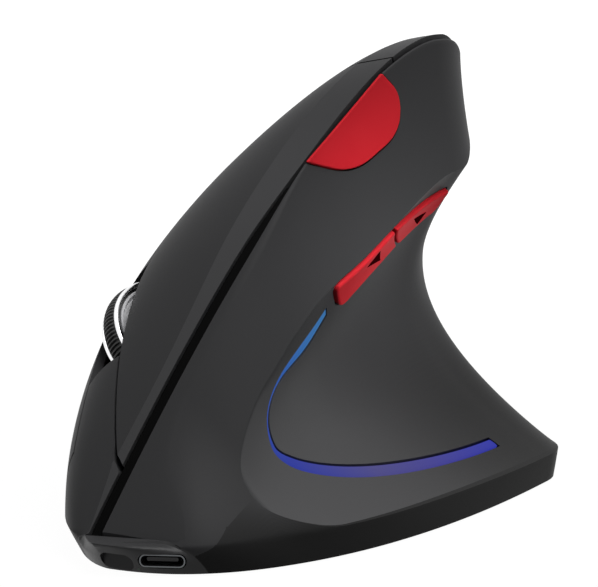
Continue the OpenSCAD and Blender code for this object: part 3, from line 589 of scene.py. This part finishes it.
def seam_lo(y):
    """Upper edge of the right plate, below the strip of 5.2 to 7 mm that holds the wheel."""
    strip = (5.2 + 1.8 * smooth((y + 30) / 10)) / z_ridge(y)
    return np.maximum(seam_hi(y) - strip, mix(seam_foot(y), seam_hi(y), 0.5))


def gap_s(y, s):
    """The joint gap as a share of the ridge's height."""
    return 0.02 * GAP / np.linalg.norm(finger_face(y, s + 0.01) - finger_face(y, s - 0.01), axis=-1)


def slant(y):
    """The station at which the seam is drawn: round the left plate's tip it lies up to 6 mm further back."""
    d = y - TIP_LEFT
    return y + 6 * smooth(1 - np.where(d < 0, -d / 6.5, d / 16))


def lean(y, s, h):
    """The station at which a point is drawn: fully slanted on the seam h, and straight on the ridge and
    below the strip that holds the wheel."""
    share = np.where(s > h, (1 - s) / (1 - h), (s - seam_lo(y)) / (h - seam_lo(y)))
    return mix(y, slant(y), clip(share))


def plate_lo(y):
    """Lower edge of the left plate itself, one gap above the seam."""
    h = seam_hi(slant(y))
    return h + gap_s(slant(y), h)


def square_in(line):
    """Unit vectors square to a line along the ridge in side view, pointing down into the body."""
    run = np.gradient(line, axis=0)
    return unit(np.stack([0 * run[:, 0], run[:, 2], -run[:, 1]], -1))


def finger_wall(y, s, wall, h, ridge=True, under=0.0):
    """Outer and inner grid of a patch of the finger side; the row on the ridge drops squarely under it, and
    the inside is drawn back behind both ends of the wheel slot."""
    v = lean(y, s, h)
    ends = smooth(1 - np.abs(v - SLOT_B) / 5) - smooth(1 - np.abs(v - SLOT_A) / 5)
    back = under * clip((h - s) / 0.02) * ends
    outer, n = finger_face(v, s), finger_normal(v + back, s)
    if s[:, 0].min() < 0.1:
        n[:, 0] = unit(n[:, 0] * [1, 1, 0])
    inner = finger_face(v + back, s) - wall * thin(v)[..., None] * n
    if ridge:
        inner[:, -1] = outer[:, -1] + 1.2 * thin(y) * square_in(outer[:, -1])
    return outer, inner


def levels(edges, counts):
    """Rows over the height, between edges given as shares, with a count of rows in each stretch."""
    rows = [mix(a, b, np.linspace(0, 1, n + 1)[None, 1:]) for a, b, n in zip(edges, edges[1:], counts)]
    return np.concatenate([edges[0], *rows], 1)


def row_of(outer, row):
    """Marks the outside points of one row of a wall's grid."""
    mark = np.zeros((2, *outer.shape[:2]), bool)
    mark[0][:, row] = True
    return mark.ravel()


def bevel_painted_light(y):
    """Painted light on the bevel beside the ridge: strongest at the front, plain towards the crown."""
    return 0.74 - 0.2 * smooth((y + 12) / 24)


def soften(piece, width):
    """Rounds the free edges of a piece, as a mould does."""
    step = piece.modifiers.new("edge", "BEVEL")
    step.width, step.segments = width * 0.001, 2
    step.limit_method, step.angle_limit = "ANGLE", np.radians(50)


y = spans((-52.4, TIP_LEFT, 26), (TIP_LEFT, TIP_RIGHT, 8), (TIP_RIGHT, SLOT_A, 26), (SLOT_A, SLOT_B, 44),
          (SLOT_B, SEAM_REAR, 62), (SEAM_REAR, HEEL_Y, 70, 1))[:, None]
hi = seam_hi(slant(y))
bend = np.maximum(bevel_s(y), (hi + 1) / 2)
counts = (12, 40, 10, 24, 12)
s = levels((RIM / z_ridge(y), seam_foot(y), seam_lo(y), hi, bend, 1 + 0 * y), counts)
# First rows of the right window, of the strip with the wheel, of the left window and of its bevel.
right_row, strip_row, left_row, bevel_row = np.cumsum(counts)[:-1]
mid, row = (y[1:] + y[:-1]) / 2, np.arange(s.shape[1] - 1)[None]
window = (mid > TIP_LEFT) & (mid < SEAM_REAR) & (row >= left_row)
window |= (mid > TIP_RIGHT) & (mid < SEAM_REAR) & (row >= right_row) & (row < strip_row)
window |= (mid > SLOT_A) & (mid < SLOT_B) & (row >= strip_row) & (row < left_row)
finger_grid = finger_wall(y, s, WALL, hi, True, UNDERCUT)
finger_mesh = build("finger_moulding", *skin(*finger_grid, ~window), row_of(finger_grid[0], bevel_row))
# Painted light on the bevel rows of the finger shell, the middle tone elsewhere.
finger_painted_light = np.where(row >= bevel_row, bevel_painted_light(mid), 0.5)[~window]
finger_shell = place(paint_shading(finger_mesh, finger_painted_light), charcoal, "body", "shell", "finger_shell")
soften(finger_shell, 0.15)

# Click plates
# Two long plates of the same ABS, each hinged by a thin web at its rear edge inside the shell, with a peg
# under it that presses a plunger. The left one lies along the ridge, the right one below the wheel.
PLATE = 1.6
y = spans((TIP_LEFT + 2 * GAP, TIP_RIGHT, 14), (TIP_RIGHT, SEAM_REAR - GAP, 120))[:, None]
hi = plate_lo(y)
bend = np.maximum(bevel_s(y), (hi + 1) / 2)
counts = (36, 14)
plate_grid = finger_wall(y, levels((hi, bend, 1 + 0 * y), counts), PLATE, hi)
plate_mesh = build("left_plate", *skin(*plate_grid), row_of(plate_grid[0], counts[0]))
# Painted light on the bevel rows of the left plate, the middle tone elsewhere.
plate_painted_light = np.where(np.arange(sum(counts))[None] >= counts[0], bevel_painted_light(y[1:]), 0.5).ravel()
left_plate = place(paint_shading(plate_mesh, plate_painted_light), charcoal, "left_button", "shell", "left_button")
soften(left_plate, 0.15)
y = spans((TIP_RIGHT + GAP, SEAM_REAR - GAP, 120))[:, None]
s = levels((seam_foot(y) + gap_s(y, seam_foot(y)), seam_lo(y) - gap_s(y, seam_lo(y))), (60,))
right_mesh = build("right_plate", *skin(*finger_wall(y, s, PLATE, seam_hi(y), False)))
right_plate = place(paint_shading(right_mesh, []), charcoal, "right_button", "shell", "right_button")
soften(right_plate, 0.2)

# Ridge band
# A soft black TPE strip pressed into the groove between the two halves, from the nose up to the red cap,
# where the groove closes to a plain seam. It is crowned, and a slit of 0.36 mm stays beside the left plate.
SLIT, DEEP = 0.36, 1.35
y = np.linspace(-52.6, -9, 160)
line = real(x_ridge(y), y, z_ridge(y))
half = band_half(y)[:, None]
q = np.linspace(-1, 1, 9)[None]
near, far = SLIT - half, half + 0.03
across = np.concatenate([near, mix(near, far, (q + 1) / 2), far], 1)
depth = np.concatenate([[DEEP], 0.12 + 0.12 * q[0] ** 4, [DEEP]])
band_rings = line[:, None] + across[..., None] * np.array([1.0, 0, 0])
band_rings += depth[None, :, None] * square_in(line)[:, None]
# Black TPE: nearly no sheen, so the band reads as one flat dark line.
rubber = moulded("black_tpe", "#050505", "#080808", 0.8, 0.25, 0.1, 0.02)
place(build("ridge_strip", *capped(band_rings)), rubber, "body", "band", "ridge_band")

# Scroll wheel
# A ribbed rubber tyre between two bright chromed rings on a silver hub, all pressed together and turning on
# a steel axle in its cradle. The wheel stands out of the finger shell by 1.9 mm.
WHEEL_Y, WHEEL_R, PROUD, RIBS, WHEEL_TURN = -20.0, 11.5, 1.9, 96, np.radians(13.75)
TREAD, RING_R, RING_A, RING_HALF = 1.6, 10.75, 2.05, 0.4
wheel_at, wheel_out = finger_face(WHEEL_Y, SEAM_S), finger_normal(np.array(WHEEL_Y), np.array(SEAM_S))
ahead = unit(np.array([0, -1.0, 0]) + wheel_out * wheel_out[1])
axis = np.cross(wheel_out, ahead) * np.cos(WHEEL_TURN) + ahead * np.sin(WHEEL_TURN)
ahead = np.cross(axis, wheel_out)


def hoop(rings):
    """Closed rings joined one to the next and the last to the first."""
    at = np.arange(rings.shape[0] * rings.shape[1]).reshape(rings.shape[:2])
    on = np.roll(at, -1, 1)
    quads = np.stack([at, on, np.roll(on, -1, 0), np.roll(at, -1, 0)], -1)
    return rings.reshape(-1, 3), [quads.reshape(-1, 4)]


def wheel_lathe(profile, count, rib=0.0):
    """A closed profile of (radius, place along the axle, share of rib) turned round the axle; ribs are a
    clipped sine round the wheel."""
    a = np.linspace(0, 2 * np.pi, count, endpoint=False)[None]
    r = profile[:, :1] + rib * profile[:, 2:] * np.clip(1.6 * np.sin(RIBS * a), -1, 1)
    x = PROUD - WHEEL_R + r * np.cos(a)
    return hoop(wheel_at + x[..., None] * wheel_out + (r * np.sin(a))[..., None] * ahead
                + (profile[:, 1:2] + 0 * a)[..., None] * axis)


def metal(name, code, low, high, grain):
    """A polished or plated metal: one colour, and a blur that wanders between two values in even spots."""
    material, t, here = surface(name)
    spots = add(t, "ShaderNodeTexNoise", {"Vector": here, "Scale": 1000 / grain, "Detail": 4.0})
    blur = add(t, "ShaderNodeMapRange", {"Value": spots.outputs[0], "To Min": low, "To Max": high})
    shader = add(t, "ShaderNodeBsdfPrincipled", {
        "Base Color": linear(code), "Metallic": 1.0, "Roughness": blur.outputs[0]})
    add(t, "ShaderNodeOutputMaterial", {"Surface": shader.outputs[0]})
    return material


# The tread is a shallow arch across, and its ribs fade out to both sides.
q = np.linspace(-1, 1, 13)
tread = np.stack([WHEEL_R - 0.08 - 0.35 * q ** 2, TREAD * q, 1 - q ** 6], -1)
tread = np.concatenate([[[9.05, -TREAD, 0]], tread, [[9.05, TREAD, 0]]])
# Ribbed rubber: dull, its ribs caught by the light along their tops.
tyre = moulded("ribbed_rubber", "#2a2a2a", "#343434", 0.5, 0.2, 0.1)
place(build("wheel_tread", *wheel_lathe(tread, RIBS * 10, 0.22)), tyre, "wheel", "tyre", "wheel_tyre")
# Chromed ABS: a mirror with a trace of blur, bright against the tyre.
chrome = metal("chromed_abs", "#f4f4f5", 0.08, 0.18, 1.5)
a = np.linspace(0, 2 * np.pi, 40, endpoint=False)
ring_r = RING_R + RING_HALF * np.sign(np.cos(a)) * np.abs(np.cos(a)) ** 0.5
ring_a = RING_HALF * np.sign(np.sin(a)) * np.abs(np.sin(a)) ** 0.6
for name, side in (("chrome_ring_outer", -1), ("chrome_ring_inner", 1)):
    ring = np.stack([ring_r, side * RING_A + ring_a, 0 * a], -1)
    ring_in = place(build(name, *wheel_lathe(ring, 220)), chrome, "wheel", "ring")
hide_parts("wheel_rings")
# Silver-painted ABS: fine metal flake under lacquer, softer than the chrome.
silver = moulded("silver_lacquer", "#b9b9bb", "#c9c9cb", 0.3, 0.4, 0.03, 0.5)
hub = np.array([[1, -2, 0], [9.9, -2, 0], [9.9, -1.65, 0], [9, -1.65, 0], [9, 1.65, 0], [9.9, 1.65, 0],
                [9.9, 2.1, 0], [9.5, 2.1, 0], [9.2, 1.7, 0], [8.6, 1.7, 0], [8.2, 2.2, 0], [1, 2.2, 0]])
place(build("wheel_disc", *wheel_lathe(hub, 160)), silver, "wheel", "hub", "wheel_hub")


def dress(material, *names):
    """Gives a material to solids of the frame that keep their own shape."""
    for name in names:
        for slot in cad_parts[name].material_slots:
            slot.material = material


# Turned steel: bright, with a faint blur from the lathe.
steel = metal("turned_steel", "#b9bbbd", 0.22, 0.38, 0.6)
dress(steel, "wheel_axle")

# Works inside
# Circuit boards on posts, the switches and plungers behind each button, the cradle of the wheel, the sensor
# with its lens, the battery and the light source. They are plain solids, hidden once the base is closed.

# Solder-masked fibreglass: deep green, glossy, the weave just showing through.
mask = moulded("green_solder_mask", "#134a24", "#1c5c30", 0.3, 0.6, 0.1, 0.5)
dress(mask, "button_board", "side_board", "dpi_board", "main_board", "usb_board")
# Glass-filled nylon: dark grey, with a flow pattern from the mould.
nylon = moulded("glass_filled_nylon", "#2c2c2e", "#3a3a3c", 0.55, 0.5, 0.2)
dress(nylon, "wheel_cradle", "board_bracket", "side_posts", "dpi_post")
# Black thermoset: the matt housings of switches and chips.
thermoset = moulded("black_thermoset", "#141415", "#1d1d1f", 0.5, 0.3, 0.15)
dress(thermoset, "left_switch", "right_switch", "wheel_switch", "side_switches", "dpi_switch", "sensor_chip",
      "power_switch")
# Cream acetal: the slippery plungers and the housing of the encoder.
acetal = moulded("cream_acetal", "#cfc7b2", "#ddd6c4", 0.35, 0.4, 0.05, 0.5)
dress(acetal, "left_plunger", "right_plunger", "wheel_encoder", "strip_led")
# Laminated foil: the soft silver pouch of the cell.
foil = metal("pouch_foil", "#9aa3aa", 0.35, 0.6, 4.0)
dress(foil, "battery")
# Clear polycarbonate: the moulded lens over the sensor, with a slight ripple from the mould.
lens, t, here = surface("clear_polycarbonate")
ripple = add(t, "ShaderNodeTexNoise", {"Vector": here, "Scale": 1000 / 3, "Detail": 1.0})
relief = add(t, "ShaderNodeBump", {"Height": ripple.outputs[0], "Strength": 0.1, "Distance": 0.0002})
clear = add(t, "ShaderNodeBsdfPrincipled", {
    "Base Color": linear("#eef2f4"), "Roughness": 0.08, "IOR": 1.58, "Transmission Weight": 0.9,
    "Normal": relief.outputs[0]})
add(t, "ShaderNodeOutputMaterial", {"Surface": clear.outputs[0]})
dress(lens, "sensor_lens")

# Base plate
# A flat black ABS plate screwed up into both shells, with slick glide feet stuck into its recesses and a
# slider that switches the power.

# Matt black ABS: flat and dark, with a coarser grain than the shells.
base = moulded("matt_black_abs", "#191919", "#202020", 0.6, 0.5, 0.25)
dress(base, "base_plate")
# White PTFE: milky and waxy, the pads that slide on the table.
glide = moulded("white_ptfe", "#d6d6d4", "#e2e2e0", 0.45, 1.2, 0.04)
dress(glide, "glide_feet", "power_slider")
dress(steel, "base_screws", "board_screws")

# Nose insert
# A separate ABS moulding clipped into the nose, in a lighter grey, with a small notch for a fingernail and
# the slot of the charging port; behind the slot sits the folded steel sleeve of the socket with its tongue.

# Place and turn about the upright of the port and of the notch
PORT = thumb_face(-54.3, 2.5), np.radians(22)
NOTCH = np.array([-1.5, -54.4, 1.95]), np.radians(4)


def in_nose(spot, x, y, z):
    """Points of a spot's own frame: x across the nose, y into it, z above the spot."""
    at, turn = spot
    x, y, z = np.broadcast_arrays(x, y, z)
    return at + np.stack([x * np.cos(turn) - y * np.sin(turn), x * np.sin(turn) + y * np.cos(turn), z], -1)


def slot_line(wide, high, corner, count=64):
    """A rectangle in (x, z) whose four corners are quarter circles."""
    a = (np.arange(count) + 0.5) * 2 * np.pi / count
    return np.stack([np.sign(np.cos(a)) * (wide / 2 - corner) + corner * np.cos(a),
                     np.sign(np.sin(a)) * (high / 2 - corner) + corner * np.sin(a)], -1)


def bar(spot, line, *depths):
    """A closed (x, z) outline carried straight into the nose through the given depths."""
    return capped(in_nose(spot, line[None, :, 0], np.array(depths)[:, None], line[None, :, 1]))


# Rows gathered at the rounded upper edge; each side starts where its shell ends and runs round to the nose.
level = np.concatenate([[4.9, 4.88, 4.84, 4.75, 4.6], np.linspace(4.4, 0.9, 16), [RIM + 0.05, RIM]])[:, None]
q = np.sin(np.pi / 2 * np.arange(25) / 24)[None]
thumb_y, finger_y = mix(-51.15, NOSE_Y, q), mix(-52.3, NOSE_Y, q[:, ::-1])
thumb_z = level * mix(1, z_ridge(thumb_y) / NOSE_Z, smooth((level - 2) / 2.5))
nose = np.concatenate([thumb_face(thumb_y, thumb_z), finger_at(finger_y, level)], 1)
nose_mesh = cut(build("nose_insert", *capped(nose)),
                build("port_slot", *bar(PORT, slot_line(7.4, 2.4, 1.15), -8.0, 8.0)),
                build("nail_notch", *bar(NOTCH, slot_line(5.6, 2.9, 1.4), -3.0, 1.4)))
# Grey ABS, a shade lighter and glossier than the shells, so the insert catches the light at the nose.
grey = moulded("grey_abs", "#2a2a2b", "#2f2f30", 0.42, 0.3, 0.06, 0.16)
place(nose_mesh, grey, "body", "bezel", "front_bezel")
# Folded tin-plated steel: the bright rim that shows in the slot.
tin = metal("tinned_steel", "#5e6062", 0.35, 0.5, 0.8)
outer, inner = slot_line(7.0, 2.0, 0.95), slot_line(6.6, 1.6, 0.75)
folds = ((outer, 0.55), (outer, 0.4), (inner, 0.4), (inner, 0.55), (inner, 5.0), (outer, 5.0))
sleeve = np.stack([in_nose(PORT, line[:, 0], deep, line[:, 1]) for line, deep in folds])
place(build("port_sleeve", *hoop(sleeve)), tin, "body", "steel", "usb_socket")
tongue = slot_line(4.8, 0.6, 0.25) + [0, 0.15]
place(build("port_tongue", *bar(PORT, tongue, 1.0, 1.1, 5.0)), thermoset, "body", "part")

# Camera, floor and light
# A long lens at the height of the thumb and a plain pale floor. A broad soft box overhead gives most of the
# light, two small ones lift the left and the right, and a narrow low beam picks out the side buttons.
camera = bpy.data.objects.new("camera", bpy.data.cameras.new("camera"))
bpy.context.scene.collection.objects.link(camera)
az, el, far = np.radians(27.664), np.radians(9.471), 0.48
back = Vector((np.sin(az) * np.cos(el), -np.cos(az) * np.cos(el), np.sin(el)))
camera.location = Vector((0.001351, 0, 0.035315)) + back * far
camera.rotation_euler = back.to_track_quat("Z", "Y").to_euler()
camera.data.lens, camera.data.sensor_width, camera.data.sensor_fit = 174.9, 36.0, "HORIZONTAL"
camera.data.clip_start = 0.01
bpy.context.scene.camera = camera
bpy.context.scene.view_settings.view_transform = "Standard"


def seen_white(t):
    """1 for rays from the camera, off gloss and through glass, and 0 for rays that only carry light."""
    path = add(t, "ShaderNodeLightPath").outputs
    through = add(t, "ShaderNodeMath", {0: path["Is Glossy Ray"], 1: path["Is Transmission Ray"]},
                  operation="MAXIMUM")
    return add(t, "ShaderNodeMath", {0: path["Is Camera Ray"], 1: through.outputs[0]},
               operation="MAXIMUM").outputs[0]


floor_mesh = bpy.data.meshes.new("floor")
floor_mesh.from_pydata([(-4, -4, 0), (4, -4, 0), (4, 4, 0), (-4, 4, 0)], [], [(0, 1, 2, 3)])
floor = bpy.data.objects.new("floor", floor_mesh)
bpy.context.scene.collection.objects.link(floor)
# Paper sweep: matt grey to the light, seen as plain white with the shadow of the mouse left in near it.
paper, t, here = surface("white_paper")
fibre = add(t, "ShaderNodeTexNoise", {"Vector": here, "Scale": 1000 / 2, "Detail": 2.0})
tone = add(t, "ShaderNodeMix", {0: fibre.outputs[0], 6: linear("#7c7c7c"), 7: linear("#828282")},
           data_type="RGBA")
matt = add(t, "ShaderNodeBsdfDiffuse", {"Color": tone.outputs[2]})
shine = add(t, "ShaderNodeEmission", {"Color": (1, 1, 1, 1), "Strength": 1.14})
away = add(t, "ShaderNodeVectorMath", {0: here}, operation="LENGTH")
fade = add(t, "ShaderNodeMapRange", {
    "Value": away.outputs["Value"], "From Min": 0.08, "From Max": 0.3, "To Min": 0.86})
share = add(t, "ShaderNodeMath", {0: seen_white(t), 1: fade.outputs[0]}, operation="MULTIPLY")
blend = add(t, "ShaderNodeMixShader", {0: share.outputs[0], 1: matt.outputs[0], 2: shine.outputs[0]})
add(t, "ShaderNodeOutputMaterial", {"Surface": blend.outputs[0]})
floor_mesh.materials.append(paper)

world = bpy.data.worlds.new("studio")
world.use_nodes = True
bpy.context.scene.world = world
t = world.node_tree
t.nodes.clear()
room = add(t, "ShaderNodeBackground", {"Color": (1, 1, 1, 1), "Strength": 0.05})
white = add(t, "ShaderNodeBackground", {"Color": (1, 1, 1, 1), "Strength": 1.0})
blend = add(t, "ShaderNodeMixShader", {0: seen_white(t), 1: room.outputs[0], 2: white.outputs[0]})
add(t, "ShaderNodeOutputWorld", {"Surface": blend.outputs[0]})


def hang(name, kind, spot, aim, power):
    """Hangs a lamp at a spot, turned to what it is aimed at."""
    lamp = bpy.data.objects.new(name, bpy.data.lights.new(name, kind))
    bpy.context.scene.collection.objects.link(lamp)
    lamp.location, lamp.data.energy = spot, power
    lamp.rotation_euler = (Vector(spot) - Vector(aim)).to_track_quat("Z", "Y").to_euler()
    return lamp.data


for name, spot, size, power in (("key", (-0.5, -0.35, 0.6), 0.45, 0.8),
                                ("overhead", (0.25, 0.0, 0.7), 0.6, 6.0),
                                ("fill", (0.6, -0.4, 0.25), 0.4, 0.2)):
    box = hang(name, "AREA", spot, (0, 0, 0.035), power)
    box.shape, box.size = "SQUARE", size
snoot = hang("snoot", "SPOT", (0.4, -0.2, 0.03), (0.013, 0.01, 0.038), 10.0)
snoot.spot_size, snoot.spot_blend, snoot.shadow_soft_size = np.radians(6), 1.0, 0.02
